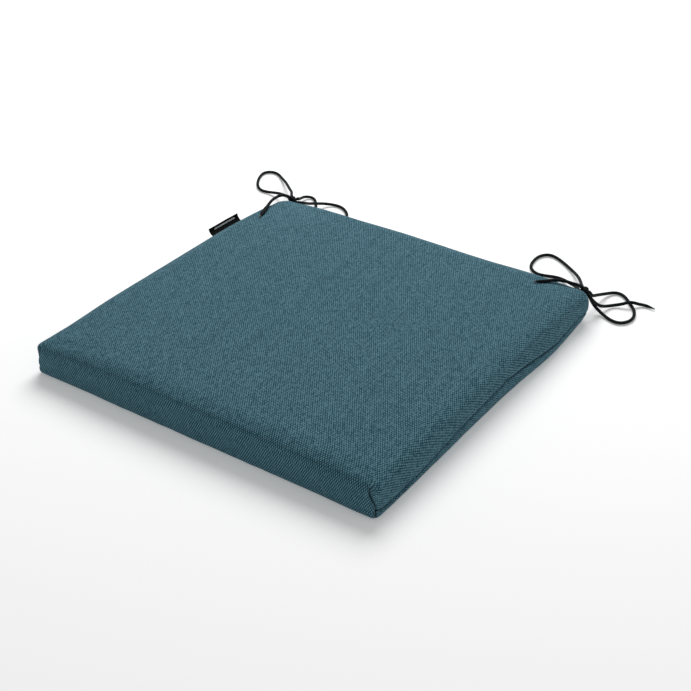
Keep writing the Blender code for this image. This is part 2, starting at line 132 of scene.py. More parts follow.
# Ties
CORD_RADIUS = 0.002
CORD_RING_STEP = 0.0012
CORD_SIDES = 14
TIP_LENGTH = 0.011
TIP_RADIUS_SHARE = 0.35
SEALED_LENGTH = 0.0035
SPREAD_FROM_TIP, SPREAD_LENGTH = 0.020, 0.014
KNOT_TURNS, KNOT_RADIUS, KNOT_LENGTH = 1.9, 0.0036, 0.0062
STEM_X = (0.2146, 0.2194)
STEM_ROUTE = ((0.2275, 0.0160), (0.2328, 0.0161), (0.2356, 0.0175), (0.2376, 0.0201), (0.2384, 0.0250))
KNOT_CENTRE = (0.2183, 0.2390, 0.0323)

RIGHT_LOOP_A = (
    (0.2137, 0.2432, 0.0335), (0.2045, 0.2600, 0.0268), (0.1920, 0.2850, 0.0160),
    (0.1760, 0.3100, 0.0075), (0.1560, 0.3300, 0.0030), (0.1330, 0.3450, 0.0023),
    (0.1180, 0.3480, 0.0023), (0.1095, 0.3380, 0.0023), (0.1090, 0.3200, 0.0023),
    (0.1145, 0.3040, 0.0023), (0.1270, 0.2945, 0.0023), (0.1400, 0.2955, 0.0023),
    (0.1540, 0.2995, 0.0023), (0.1690, 0.2940, 0.0045), (0.1850, 0.2800, 0.0105),
    (0.1990, 0.2630, 0.0180), (0.2110, 0.2430, 0.0275))
RIGHT_LOOP_B = (
    (0.2218, 0.2440, 0.0294), (0.2225, 0.2522, 0.0215), (0.2220, 0.2670, 0.0140),
    (0.2225, 0.2840, 0.0075), (0.2260, 0.2985, 0.0033), (0.2325, 0.3060, 0.0023),
    (0.2425, 0.3045, 0.0023), (0.2565, 0.2920, 0.0023), (0.2675, 0.2795, 0.0023),
    (0.2740, 0.2650, 0.0023), (0.2735, 0.2510, 0.0023), (0.2655, 0.2415, 0.0023),
    (0.2535, 0.2420, 0.0023), (0.2405, 0.2475, 0.0036), (0.2310, 0.2495, 0.0080),
    (0.2255, 0.2480, 0.0150), (0.2236, 0.2430, 0.0240))
RIGHT_TAIL_A = (
    (0.2254, 0.2370, 0.0290), (0.2290, 0.2385, 0.0240), (0.2320, 0.2445, 0.0170),
    (0.2345, 0.2540, 0.0095), (0.2380, 0.2660, 0.0045), (0.2435, 0.2755, 0.0030),
    (0.2515, 0.2810, 0.0048), (0.2595, 0.2865, 0.0070), (0.2670, 0.2935, 0.0040),
    (0.2750, 0.2975, 0.0024), (0.2880, 0.2960, 0.0023))
RIGHT_TAIL_B = (
    (0.2140, 0.2345, 0.0395), (0.2095, 0.2262, 0.0447), (0.2003, 0.2224, 0.0470),
    (0.1895, 0.2180, 0.0473), (0.1802, 0.2087, 0.0475), (0.1700, 0.1955, 0.0475))
LEFT_LOOP_A = (
    (-0.2240, 0.2440, 0.0345), (-0.2420, 0.2670, 0.0265), (-0.2665, 0.2940, 0.0160),
    (-0.2940, 0.3215, 0.0075), (-0.3160, 0.3395, 0.0030), (-0.3300, 0.3475, 0.0023),
    (-0.3410, 0.3465, 0.0023), (-0.3465, 0.3385, 0.0023), (-0.3445, 0.3270, 0.0023),
    (-0.3385, 0.3140, 0.0023), (-0.3290, 0.3005, 0.0023), (-0.3185, 0.2915, 0.0023),
    (-0.3085, 0.2890, 0.0023), (-0.2960, 0.2895, 0.0035), (-0.2775, 0.2840, 0.0090),
    (-0.2560, 0.2700, 0.0170), (-0.2365, 0.2535, 0.0250), (-0.2260, 0.2420, 0.0295))
LEFT_LOOP_B = (
    (-0.2168, 0.2460, 0.0320), (-0.2260, 0.2615, 0.0230), (-0.2365, 0.2805, 0.0140),
    (-0.2440, 0.2940, 0.0075), (-0.2465, 0.3030, 0.0045), (-0.2430, 0.3095, 0.0028),
    (-0.2355, 0.3095, 0.0023), (-0.2255, 0.3005, 0.0023), (-0.2140, 0.2855, 0.0023),
    (-0.2040, 0.2700, 0.0023), (-0.1985, 0.2575, 0.0030), (-0.2015, 0.2495, 0.0085),
    (-0.2075, 0.2450, 0.0158), (-0.2114, 0.2426, 0.0242))
LEFT_TAIL_A = (
    (-0.2108, 0.2376, 0.0318), (-0.2080, 0.2425, 0.0304), (-0.2074, 0.2495, 0.0270),
    (-0.2095, 0.2635, 0.0200), (-0.2113, 0.2775, 0.0140), (-0.2118, 0.2900, 0.0088),
    (-0.2087, 0.3020, 0.0045), (-0.1995, 0.3090, 0.0024), (-0.1880, 0.3090, 0.0023),
    (-0.1770, 0.3035, 0.0023), (-0.1660, 0.2925, 0.0023), (-0.1610, 0.2810, 0.0023),
    (-0.1580, 0.2700, 0.0023))
LEFT_TAIL_B = (
    (-0.2215, 0.2335, 0.0390), (-0.2250, 0.2235, 0.0440), (-0.2255, 0.2120, 0.0458),
    (-0.2230, 0.1980, 0.0468), (-0.2168, 0.1815, 0.0478), (-0.2102, 0.1640, 0.0482),
    (-0.2024, 0.1450, 0.0486))

# Tab: its ends along the side, and how far each end reaches out and rises
LABEL_ENDS = ((0.1115, 0.0320, 0.0130), (0.1670, 0.0290, 0.0145))
LABEL_ROOT = (-0.2295, 0.0160)
LABEL_HALF_THICKNESS = 0.0005
LABEL_LAYER = 0.00038
LABEL_INNER_REACH = 0.985
LABEL_STEPS, LABEL_ROWS = 18, 30

# Zip: coils, tapes, stops and the stitching beside it
TAPE_HALF = 0.183
TAPE_BACK, TAPE_FRONT = 0.2284, 0.2289
TAPE_SPAN = (0.0006, 0.0116)
TAPE_COLUMNS = 120
COIL_HALF = 0.1765
COIL_PITCH = 0.0016
COIL_CENTRE = (0.2301, 0.00171)
COIL_RADII = (0.00058, 0.00100)
COIL_WIRE = 0.00031
STOP_LENGTH = 0.003
STOP_INNER, STOP_OUTER, STOP_HALF_HEIGHT = 0.2292, 0.2310, 0.0030
STITCH_LENGTH = 0.0027
STITCH_GAP = 0.0006
STITCH_OFFSET = 0.0076
STITCH_END = 0.1815
STITCH_RADIUS = 0.00019
STITCH_SEARCH_FROM = 0.26
THREAD_SIDES = 6

# Camera
CAMERA_AZIMUTH = 34.75
CAMERA_ELEVATION = 32.15
CAMERA_DISTANCE = 1.5054
CAMERA_TARGET = (0.0234, 0.0159, 0.0)
CAMERA_LENS = 67.18

# Light: each lamp's name, place, diameter and watts. Both aim at the origin
LAMPS = (("key", (-0.7, 1.5, 1.9), 1.8, 55), ("side", (2.2, 0.3, 0.8), 1.2, 2))
WORLD_STRENGTH = 0.29


# Camera, floor and light

def new_object(name, data):
    thing = bpy.data.objects.new(name, data)
    bpy.context.scene.collection.objects.link(thing)
    return thing


def make_camera():
    azimuth, elevation = math.radians(CAMERA_AZIMUTH), math.radians(CAMERA_ELEVATION)
    back = Vector((
        math.sin(azimuth) * math.cos(elevation), -math.cos(azimuth) * math.cos(elevation),
        math.sin(elevation)))
    data = bpy.data.cameras.new("camera")
    data.sensor_width = 36
    data.lens = CAMERA_LENS
    data.clip_start = 0.01
    camera = new_object("camera", data)
    camera.location = Vector(CAMERA_TARGET) + back * CAMERA_DISTANCE
    camera.rotation_euler = (-back).to_track_quat("-Z", "Y").to_euler()
    bpy.context.scene.camera = camera


def area_light(name, place, size, power):
    data = bpy.data.lights.new(name, "AREA")
    data.shape = "DISK"
    data.size = size
    data.energy = power
    light = new_object(name, data)
    light.location = place
    light.rotation_euler = (-Vector(place)).to_track_quat("-Z", "Y").to_euler()


def make_stage():
    bpy.context.scene.view_settings.view_transform = "Standard"
    world = bpy.data.worlds.new("studio")
    world.use_nodes = True
    bpy.context.scene.world = world
    background = world.node_tree.nodes["Background"].inputs
    background["Color"].default_value = (1.0, 1.0, 1.0, 1.0)
    background["Strength"].default_value = WORLD_STRENGTH
    for lamp in LAMPS:
        area_light(*lamp)
    shape = bmesh.new()
    bmesh.ops.create_grid(shape, x_segments=4, y_segments=4, size=4.0)
    floor = mesh_object("floor", shape, floor_finish())
    floor.location = (0.0, 0.0, -0.0002)


# Material building

class Finish:
    """A material's node tree, with short calls to add nodes to it."""

    def __init__(self, name, colour, roughness, metallic=0.0):
        self.material = bpy.data.materials.new(name)
        self.material.use_nodes = True
        self.material.diffuse_color = (*colour, 1.0)
        self.tree = self.material.node_tree
        self.shader = self.tree.nodes["Principled BSDF"]
        self.set("Base Color", (*colour, 1.0))
        self.set("Roughness", roughness)
        self.set("Metallic", metallic)

    def feed(self, socket, value):
        """Link a node's output to a socket, or give the socket a plain value."""
        if isinstance(value, bpy.types.NodeSocket):
            self.tree.links.new(value, socket)
        else:
            socket.default_value = value

    def set(self, socket, value):
        self.feed(self.shader.inputs[socket], value)

    def node(self, kind, inputs=(), output=0, **settings):
        made = self.tree.nodes.new(f"ShaderNode{kind}")
        for key, value in settings.items():
            setattr(made, key, value)
        for key, value in dict(inputs).items():
            self.feed(made.inputs[key], value)
        return made.outputs[output]

    def maths(self, operation, *values):
        return self.node("Math", enumerate(values), operation=operation)

    def times(self, first, second):
        return self.maths("MULTIPLY", first, second)

    def scaled(self, value, scale, base):
        """value times scale, plus base."""
        return self.maths("MULTIPLY_ADD", value, scale, base)

    def ripple(self, phase):
        """Rounded humps from 0 to 1, one for each half turn of the phase."""
        return self.maths("ABSOLUTE", self.maths("SINE", phase))

    def ranged(self, value, low, high, first, last):
        """first where value is low, and last where it is high."""
        return self.node("MapRange", {0: value, 1: low, 2: high, 3: first, 4: last})

    def mix(self, share, first, second):
        """The first colour where share is 0, and the second where it is 1."""
        made = self.tree.nodes.new("ShaderNodeMix")
        made.data_type = "RGBA"
        self.feed(made.inputs[0], share)
        for i, colour in ((6, first), (7, second)):
            self.feed(made.inputs[i], (*colour, 1.0) if isinstance(colour, tuple) else colour)
        return made.outputs[2]

    def blend(self, share, first, second):
        """first where share is 0 and second where it is 1, for plain numbers."""
        return self.scaled(self.maths("SUBTRACT", second, first), share, first)

    def noise(self, place, scale, detail=2.0, roughness=0.5):
        return self.node("TexNoise", {
            "Vector": place, "Scale": scale, "Detail": detail, "Roughness": roughness})

    def along(self, first, second, third=0.0):
        return self.node("CombineXYZ", {0: first, 1: second, 2: third})

    def bump(self, height, distance, strength=1.0):
        self.set("Normal", self.node("Bump", {
            "Height": height, "Distance": distance, "Strength": strength}))


def uv_pair(mat, name="weave"):
    place = mat.node("UVMap", uv_map=name)
    split = mat.node("SeparateXYZ", {0: place})
    return split, split.node.outputs[1]


def basket_weave(name, painted_gap_shade, warp, weft):
    """Two-tone weave: single warp yarns cross pairs of weft yarns, over one pair and under the next. The
    gaps between yarns and the darts and seams get painted shade, and faces towards the front get painted
    extra contrast.
    """
    mat = Finish(name, weft, 0.9)
    along_x, along_y = uv_pair(mat)
    place = mat.along(along_x, along_y)
    drift_x = mat.scaled(mat.noise(place, 90, 1.0), 0.0009, along_x)
    drift_y = mat.scaled(mat.noise(mat.along(along_y, along_x), 80, 1.0), 0.0012, along_y)
    leaning = mat.scaled(drift_y, WARP_LEAN, drift_x)
    a = mat.maths("DIVIDE", leaning, WARP_PITCH)
    b = mat.maths("DIVIDE", drift_y, WEFT_PITCH)
    warp_number, weft_number = mat.maths("FLOOR", a), mat.maths("FLOOR", b)
    in_a, in_b = mat.maths("FRACT", a), mat.maths("FRACT", b)
    warp_over = mat.maths("PINGPONG", mat.maths("ADD", warp_number, weft_number), 1.0)

    def yarn(across, lengthwise, count):
        rounded = mat.ripple(mat.times(across, count * math.pi))
        arched = mat.maths("SINE", mat.times(lengthwise, math.pi))
        return mat.times(mat.maths("POWER", rounded, 0.5), mat.maths("POWER", arched, 0.5))

    height = mat.blend(warp_over, yarn(in_b, in_a, 2), yarn(in_a, in_b, 1))
    warp_shade = mat.node("TexWhiteNoise", {"W": warp_number}, noise_dimensions="1D")
    streak = mat.noise(mat.along(warp_number, mat.times(b, 0.30)), 1.0, 1.0)
    slub = mat.noise(mat.along(mat.times(a, 0.16), weft_number, 9.0), 1.0, 1.0)
    fibre = mat.noise(place, 2600, 2.0, 0.6)
    cloud = mat.noise(place, 26, 3.0, 0.55)

    crossing = mat.along(warp_number, weft_number)
    nub = mat.node("TexWhiteNoise", {"Vector": crossing}, noise_dimensions="2D")
    # Painted light: where the surface faces the front, the checker, the nubs and the fibre get more
    # contrast, standing in for grazing light and shade on the weave.
    facing = mat.node("SeparateXYZ", {0: mat.node("NewGeometry", output=1)}, 1)
    painted_light_front_mask = mat.ranged(facing, -0.10, -0.90, 0.0, 1.0)
    checker_contrast_and_painted_light = mat.scaled(painted_light_front_mask, 0.60, 0.85)
    speck_contrast_and_painted_light = mat.scaled(painted_light_front_mask, 0.3, 1.0)
    tone = 0.5
    for source, share in (
            (warp_over, checker_contrast_and_painted_light), (streak, 0.85), (nub, mat.times(speck_contrast_and_painted_light, 0.8)), (slub, 0.4),
            (warp_shade, 0.2), (fibre, mat.times(speck_contrast_and_painted_light, 1.1)), (cloud, 0.2)):
        tone = mat.scaled(mat.maths("SUBTRACT", source, 0.5), share, tone)
    tone = mat.node("Clamp", {0: tone})
    yarns = mat.mix(tone, weft, warp)
    # Painted shade: where the relief is low, between the yarns, the colour goes to the dark gap colour.
    gap = mat.ranged(height, 0.05, 0.60, 0.0, 1.0)
    # Painted shade: the crease attribute darkens the weave towards near black in the darts and the seam
    # groove.
    crease = mat.node("Attribute", output=2, attribute_name="crease")
    mat.set("Base Color", mat.mix(
        mat.times(crease, 0.85), mat.mix(gap, painted_gap_shade, yarns), (0.001, 0.004, 0.006)))
    relief = mat.scaled(fibre, 0.18, height)
    mat.bump(relief, 0.00028, 0.7)
    mat.set("Roughness", mat.ranged(height, 0.0, 1.0, 0.98, 0.84))
    mat.set("Sheen Weight", 0.06)
    mat.set("Sheen Roughness", 0.45)
    mat.set("Sheen Tint", (0.75, 0.92, 1.0, 1.0))
    mat.set("Specular IOR Level", 0.12)
    return mat.material


def braid_finish(name):
    """Round braid: two sets of yarns that spiral opposite ways over and under each other."""
    mat = Finish(name, (0.010, 0.013, 0.015), 0.75)
    around, lengthwise = uv_pair(mat)
    turns = mat.times(around, 4.0)
    steps = mat.maths("DIVIDE", lengthwise, BRAID_PITCH)
    one = mat.maths("ADD", turns, steps)
    other = mat.maths("SUBTRACT", turns, steps)

    def ridge(place):
        return mat.ripple(mat.times(place, math.pi))

    over = mat.maths("PINGPONG", mat.maths(
        "ADD", mat.maths("FLOOR", one), mat.maths("FLOOR", other)), 1.0)
    height = mat.blend(over, ridge(one), ridge(other))
    fibre = mat.noise(mat.along(mat.times(around, BRAID_ROUND), lengthwise), 7000, 2.0, 0.7)
    # Partly painted highlight: the raised yarns of the braid are lighter, mixed with the fibre's own
    # variation.
    shade = mat.scaled(fibre, 0.6, mat.times(height, 0.5))
    braid = mat.mix(shade, (0.0003, 0.0009, 0.0011), (0.0075, 0.0128, 0.0142))
    sealed = mat.node("Attribute", output=2, attribute_name="sealed")
    worn = mat.mix(fibre, (0.05, 0.06, 0.065), (0.42, 0.44, 0.44))
    mat.set("Base Color", mat.mix(sealed, braid, worn))
    mat.bump(mat.scaled(fibre, 0.2, height), 0.00035, 0.9)
    mat.set("Roughness", mat.ranged(fibre, 0.2, 0.8, 0.62, 0.88))
    mat.set("Sheen Weight", 0.01)
    mat.set("Sheen Roughness", 0.5)
    mat.set("Specular IOR Level", 0.12)
    return mat.material


def label_finish():
    """Black satin ribbon with fine ribs, and one plain worn stripe."""
    mat = Finish("label_satin", (0.008, 0.009, 0.010), 0.6)
    across, lengthwise = uv_pair(mat)
    rib = mat.ripple(mat.times(across, math.pi / 0.00028))
    warp = mat.ripple(mat.times(lengthwise, math.pi / 0.0005))
    fibre = mat.noise(mat.along(across, lengthwise), 4000, 2.0, 0.7)
    black = mat.mix(fibre, (0.0010, 0.0013, 0.0016), (0.006, 0.007, 0.008))

    def inside(value, low, high):
        return mat.times(
            mat.maths("GREATER_THAN", value, low), mat.maths("LESS_THAN", value, high))

    worn = mat.ranged(mat.noise(mat.along(across, lengthwise), 520, 2.0, 0.7), 0.32, 0.56, 0.2, 1.0)
    stripe = mat.times(inside(across, 0.0034, 0.0062), inside(lengthwise, 0.1205, 0.1600))
    printed = mat.times(stripe, worn)
    mat.set("Base Color", mat.mix(printed, black, (0.72, 0.74, 0.75)))
    mat.bump(mat.scaled(warp, 0.5, rib), 0.00006, 0.8)
    mat.set("Roughness", mat.ranged(fibre, 0.2, 0.8, 0.62, 0.84))
    mat.set("Specular IOR Level", 0.07)
    return mat.material


def tape_finish():
    """Narrow herringbone tape, dyed close to the cover."""
    mat = Finish("zip_tape_twill", (0.012, 0.045, 0.060), 0.85)
    lengthwise, across = uv_pair(mat)
    fold = mat.maths("PINGPONG", across, 0.0014)
    twill = mat.ripple(mat.times(mat.maths("ADD", lengthwise, fold), math.pi / 0.0006))
    fibre = mat.noise(mat.along(lengthwise, across), 5000, 2.0, 0.7)
    shade = mat.scaled(fibre, 0.5, mat.times(twill, 0.5))
    mat.set("Base Color", mat.mix(shade, (0.004, 0.018, 0.026), (0.030, 0.085, 0.110)))
    mat.bump(twill, 0.00010, 0.8)
    mat.set("Roughness", mat.ranged(fibre, 0.2, 0.8, 0.78, 0.92))
    mat.set("Specular IOR Level", 0.2)
    return mat.material


def thread_finish(name, colour, pitch, roughness):
    """Smooth filament with a slight twist: the zip's coils and the stitching."""
    mat = Finish(name, colour, roughness)
    around, lengthwise = uv_pair(mat)
    ply = mat.ripple(
        mat.scaled(around, math.pi, mat.times(lengthwise, math.pi / pitch)))
    fleck = mat.noise(mat.along(around, lengthwise), 2400, 2.0, 0.6)
    dark = tuple(0.45 * part for part in colour)
    light = tuple(1.6 * part for part in colour)
    shade = mat.scaled(fleck, 0.6, mat.times(ply, 0.4))
    mat.set("Base Color", mat.mix(shade, dark, light))
    mat.bump(ply, 0.00003, 0.6)
    mat.set("Roughness", mat.ranged(fleck, 0.2, 0.8, roughness - 0.08, roughness + 0.08))
    return mat.material


def metal_finish():
    """Plated die-cast metal, dulled and faintly scratched."""
    mat = Finish("zip_plated_metal", (0.08, 0.083, 0.088), 0.36, 1.0)
    place = mat.node("TexCoord", output=3)
    dull = mat.noise(place, 900, 3.0, 0.6)
    stretched = mat.node("Mapping", {"Vector": place, "Scale": (180.0, 3200.0, 3200.0)})
    scratch = mat.noise(stretched, 1.0, 2.0, 0.6)
    mat.set("Base Color", mat.mix(dull, (0.050, 0.052, 0.055), (0.13, 0.134, 0.14)))
    mat.set("Roughness", mat.ranged(dull, 0.25, 0.75, 0.26, 0.50))
    mat.bump(mat.scaled(scratch, 0.4, dull), 0.00003, 0.5)
    return mat.material


def foam_finish():
    """Open-cell foam: small pores of mixed sizes in a creamy skeleton."""
    mat = Finish("foam_cells", (0.78, 0.72, 0.56), 0.95)
    place = mat.node("TexCoord", output=3)
    cells = mat.node("TexVoronoi", {"Vector": place, "Scale": 900.0}, feature="F1")
    pores = mat.node("TexVoronoi", {"Vector": place, "Scale": 380.0}, feature="F1")
    depth = mat.times(cells, pores)
    mottled = mat.mix(mat.noise(place, 60, 3.0), (0.70, 0.62, 0.44), (0.84, 0.79, 0.64))
    pore = mat.ranged(depth, 0.02, 0.22, 1.0, 0.0)
    mat.set("Base Color", mat.mix(pore, mottled, (0.30, 0.24, 0.14)))
    mat.bump(depth, 0.0006, 0.7)
    mat.set("Specular IOR Level", 0.15)
    return mat.material


def floor_finish():
    mat = Finish("studio_floor", (0.93, 0.93, 0.93), 0.9)
    place = mat.node("NewGeometry")
    mat.set("Roughness", mat.ranged(mat.noise(place, 3.0), 0.0, 1.0, 0.86, 0.94))
    mat.set("Specular IOR Level", 0.1)
    mat.set("Emission Color", (1.0, 1.0, 1.0, 1.0))
    mat.set("Emission Strength", 0.22)
    return mat.material


def mesh_object(name, shape, finish):
    mesh = bpy.data.meshes.new(name)
    shape.to_mesh(mesh)
    shape.free()
    mesh.materials.append(finish)
    return new_object(name, mesh)


def skin(shape, rings, place=None, capped=True):
    """Faces from each ring to the next. place(row, column) gives a corner's place on the cloth."""
    count = len(rings[0])
    weave = shape.loops.layers.uv.new("weave") if place else None
    for i in range(len(rings) - 1):
        for k in range(count):
            other = (k + 1) % count
            face = shape.faces.new((rings[i][k], rings[i][other], rings[i + 1][other], rings[i + 1][k]))
            face.smooth = True
            if place:
                for loop, corner in zip(face.loops, ((i, k), (i, k + 1), (i + 1, k + 1), (i + 1, k))):
                    loop[weave].uv = place(*corner)
    if capped:
        shape.faces.new(rings[0][::-1])
        shape.faces.new(rings[-1])


def bell(value, width, power=2):
    """1 where value is 0, falling away smoothly on both sides of it."""
    return math.exp(-(value / width) ** power)


def cover_trees(covers):
    return [BVHTree.FromObject(cover, bpy.context.evaluated_depsgraph_get()) for cover in covers]


# The ties

def smooth_route(points, step):
    """Points about one step apart on the natural cubic spline through a route's own points."""
    route = np.array(points)
    spans = np.sqrt(np.linalg.norm(np.diff(route, axis=0), axis=1))
    count = len(route)
    system = np.eye(count)
    slopes = np.zeros((count, 3))
    for i in range(1, count - 1):
        system[i, i - 1:i + 2] = (spans[i - 1], 2 * (spans[i - 1] + spans[i]), spans[i])
        after = (route[i + 1] - route[i]) / spans[i]
        before = (route[i] - route[i - 1]) / spans[i - 1]
        slopes[i] = 6 * (after - before)
    bends = np.linalg.solve(system, slopes)
    fine = []
    for i, span in enumerate(spans):
        for share in np.linspace(0, 1, 60, endpoint=False):
            rest = 1 - share
            curve = (rest ** 3 - rest) * bends[i] + (share ** 3 - share) * bends[i + 1]
            fine.append(rest * route[i] + share * route[i + 1] + curve * span ** 2 / 6)
    fine.append(route[-1])
    fine = np.array(fine)
    lengths = np.concatenate(([0.0], np.cumsum(np.linalg.norm(np.diff(fine, axis=0), axis=1))))
    marks = np.linspace(0, lengths[-1], max(4, round(lengths[-1] / step) + 1))
    spread = [np.interp(marks, lengths, fine[:, axis]) for axis in range(3)]
    return np.stack(spread, axis=1), lengths[-1]


def tube(name, points, radii, finish, sides=CORD_SIDES):
    """A round tube through the points, with a UV map of turns around it and metres along it."""
    points = np.array(points)
    tangents = np.gradient(points, axis=0)
    tangents /= np.linalg.norm(tangents, axis=1)[:, None]
    side = Vector(tangents[0]).orthogonal().normalized()
    shape = bmesh.new()
    rings = []
    travelled = np.concatenate(([0.0], np.cumsum(np.linalg.norm(np.diff(points, axis=0), axis=1))))
    for point, tangent, radius in zip(points, tangents, radii):
        tangent = Vector(tangent)
        side = (side - tangent * side.dot(tangent)).normalized()
        across = tangent.cross(side)
        ring = []
        for step in range(sides):
            angle = math.tau * step / sides
            outward = math.cos(angle) * side + math.sin(angle) * across
            ring.append(shape.verts.new(Vector(point) + outward * float(radius)))
        rings.append(ring)
    skin(shape, rings, lambda row, turn: (turn / sides, travelled[row]))
    return mesh_object(name, shape, finish)


def tie_strand(name, routes, nodes, spread, finish):
    """One cord: out of the seam, through the knot, round its loop and out to its tip, near which the
    hollow braid may be spread wider."""
    points, length = smooth_route([point for route in routes for point in route], CORD_RING_STEP)
    to_tip = np.linalg.norm(points - points[-1], axis=1)
    outer_half = np.arange(len(points)) > len(points) / 2
    shares = np.where(outer_half, np.minimum(to_tip / TIP_LENGTH, 1.0), 1.0)
    wide = 1 + spread * np.exp(-((to_tip - SPREAD_FROM_TIP) / SPREAD_LENGTH) ** 2) * outer_half
    radii = CORD_RADIUS * (TIP_RADIUS_SHARE + (1 - TIP_RADIUS_SHARE) * shares) * wide
    strand = tube(name, points, radii, finish)
    sealed = strand.data.attributes.new("sealed", "FLOAT", "POINT")
    ends = np.clip(1.3 - to_tip / SEALED_LENGTH, 0.0, 1.0) * outer_half
    sealed.data.foreach_set("value", np.repeat(ends, CORD_SIDES))
    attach(strand, "pad")
    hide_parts(*nodes)


def tie_knot(side, name, axis, finish):
    """The turns of cord that hold the bow together."""
    axis = Vector(axis).normalized()
    across = axis.cross(Vector((0.0, 0.0, 1.0))).normalized()
    upward = across.cross(axis)
    centre = Vector((side * KNOT_CENTRE[0], KNOT_CENTRE[1], KNOT_CENTRE[2]))
    points = []
    for share in np.linspace(0.0, 1.0, 90):
        angle = math.tau * (KNOT_TURNS * share + 0.1)
        tuck = min(share, 1 - share) / 0.12
        radius = KNOT_RADIUS * min(1.0, 0.35 + 0.65 * tuck)
        outward = math.cos(angle) * across + math.sin(angle) * upward
        points.append(centre + axis * float((share - 0.5) * KNOT_LENGTH) + outward * float(radius))
    knot = tube(f"tie_{name}_knot_wrap", points, [CORD_RADIUS] * len(points), finish)
    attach(knot, "pad")
    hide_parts(f"tie_{name}_knot")
    return knot


def rest_on(points, trees):
    """The route with its points over the pad lifted to lie on the fabric under them."""
    rested = []
    for x, y, z in points:
        hits = [tree.ray_cast(Vector((x, y, 0.1)), Vector((0.0, 0.0, -1.0)))[0] for tree in trees]
        top = max((hit.z for hit in hits if hit is not None), default=0.0)
        rested.append((x, y, max(z, top + 1.03 * CORD_RADIUS)))
    return rested


def make_ties(covers, finish):
    trees = cover_trees(covers)
    for side, name, axis, loop_a, loop_b, tail_a, tail_b in (
            (1, "right", (-0.8, 0.5, 0.1), RIGHT_LOOP_A, RIGHT_LOOP_B, RIGHT_TAIL_A, RIGHT_TAIL_B),
            (-1, "left", (0.8, 0.5, 0.1), LEFT_LOOP_A, LEFT_LOOP_B, LEFT_TAIL_A, LEFT_TAIL_B)):
        stems = [[(side * x, y, z) for y, z in STEM_ROUTE] for x in STEM_X]
        centre = (side * KNOT_CENTRE[0], KNOT_CENTRE[1], KNOT_CENTRE[2])
        low = (centre[0], centre[1], centre[2] - 0.0015)
        turn_a = (side * (KNOT_CENTRE[0] - 0.0016), centre[1] - 0.0003, centre[2] + 0.0002)
        turn_b = (side * (KNOT_CENTRE[0] + 0.0010), centre[1] + 0.0012, centre[2] - 0.0030)
        knot = tie_knot(side, name, axis, finish)
        tie_strand(
            f"tie_{name}_strand_a", (stems[0], (turn_a,), loop_a, (low,), tail_a),
            [f"tie_{name}_{part}" for part in ("stem_a", "loop_a", "tail_a")], 0.0, finish)
        tie_strand(
            f"tie_{name}_strand_b", (stems[1], (turn_b,), loop_b, (centre,), rest_on(tail_b, trees)),
            [f"tie_{name}_{part}" for part in ("stem_b", "loop_b", "tail_b")],
            0.45 if side < 0 else 0.0, finish)


# The cover's form: flat grids for the top and the underside, joined by rings that run round the sides

def step_up(value, low, high):
    share = min(max((value - low) / (high - low), 0.0), 1.0)
    return share * share * (3 - 2 * share)


def at_front(side, place):
    """Whether a place along a side is on the front face or in the front half of its neighbours."""
    return side == 0 or (side == 1 and place < 0) or (side == 3 and place > 0)


def side_marks():
    """Positions across the flat of the pad from corner to corner, with small cells at the ends."""
    end = MIDDLE_HALF + np.array(END_SHARES) * (FLAT_HALF - MIDDLE_HALF)
    middle = np.linspace(-MIDDLE_HALF, MIDDLE_HALF, MIDDLE_CELLS + 1)
    return np.concatenate((-end[:0:-1], middle, end[1:]))


def ring_point(side, mark, inset, height):
    """Where a mark falls on a side of the ring at this inset: along the side, out from the middle,
    and the length of fabric along the ring."""
    half = PAD_HALF - inset
    if abs(mark) <= MIDDLE_HALF:
        return mark, half, mark
    corner = (side + (1 if mark > 0 else 0)) % 4
    radius = max(CORNER_RADII[corner] - inset, 0.0)
    straight = half - radius - MIDDLE_HALF
    if corner < 2:
        shift = FRONT_DART_SHIFT * step_up(height, 0.014, 0.034)
        away = shift if side != 0 else -shift
    else:
        away = BACK_DART_SHIFT if side != 2 else -BACK_DART_SHIFT
    away *= step_up(-inset, -0.014, -0.004)
    share = (abs(mark) - MIDDLE_HALF) / (FLAT_HALF - MIDDLE_HALF)
    length = share * (straight + radius * math.pi / 4 + away)
    past = length - straight
    if past <= 0:
        along, out = MIDDLE_HALF + length, half
    elif past < radius * math.pi / 2:
        along = half - radius + radius * math.sin(past / radius)
        out = half - radius + radius * math.cos(past / radius)
    else:
        along, out = half, half - radius - (past - radius * math.pi / 2)
    sign = math.copysign(1.0, mark)
    return sign * along, out, sign * (MIDDLE_HALF + length)


def turn_to_side(side, along, out):
    """From a side's own directions to x and y."""
    return ((along, -out), (out, along), (-along, out), (-out, -along))[side]


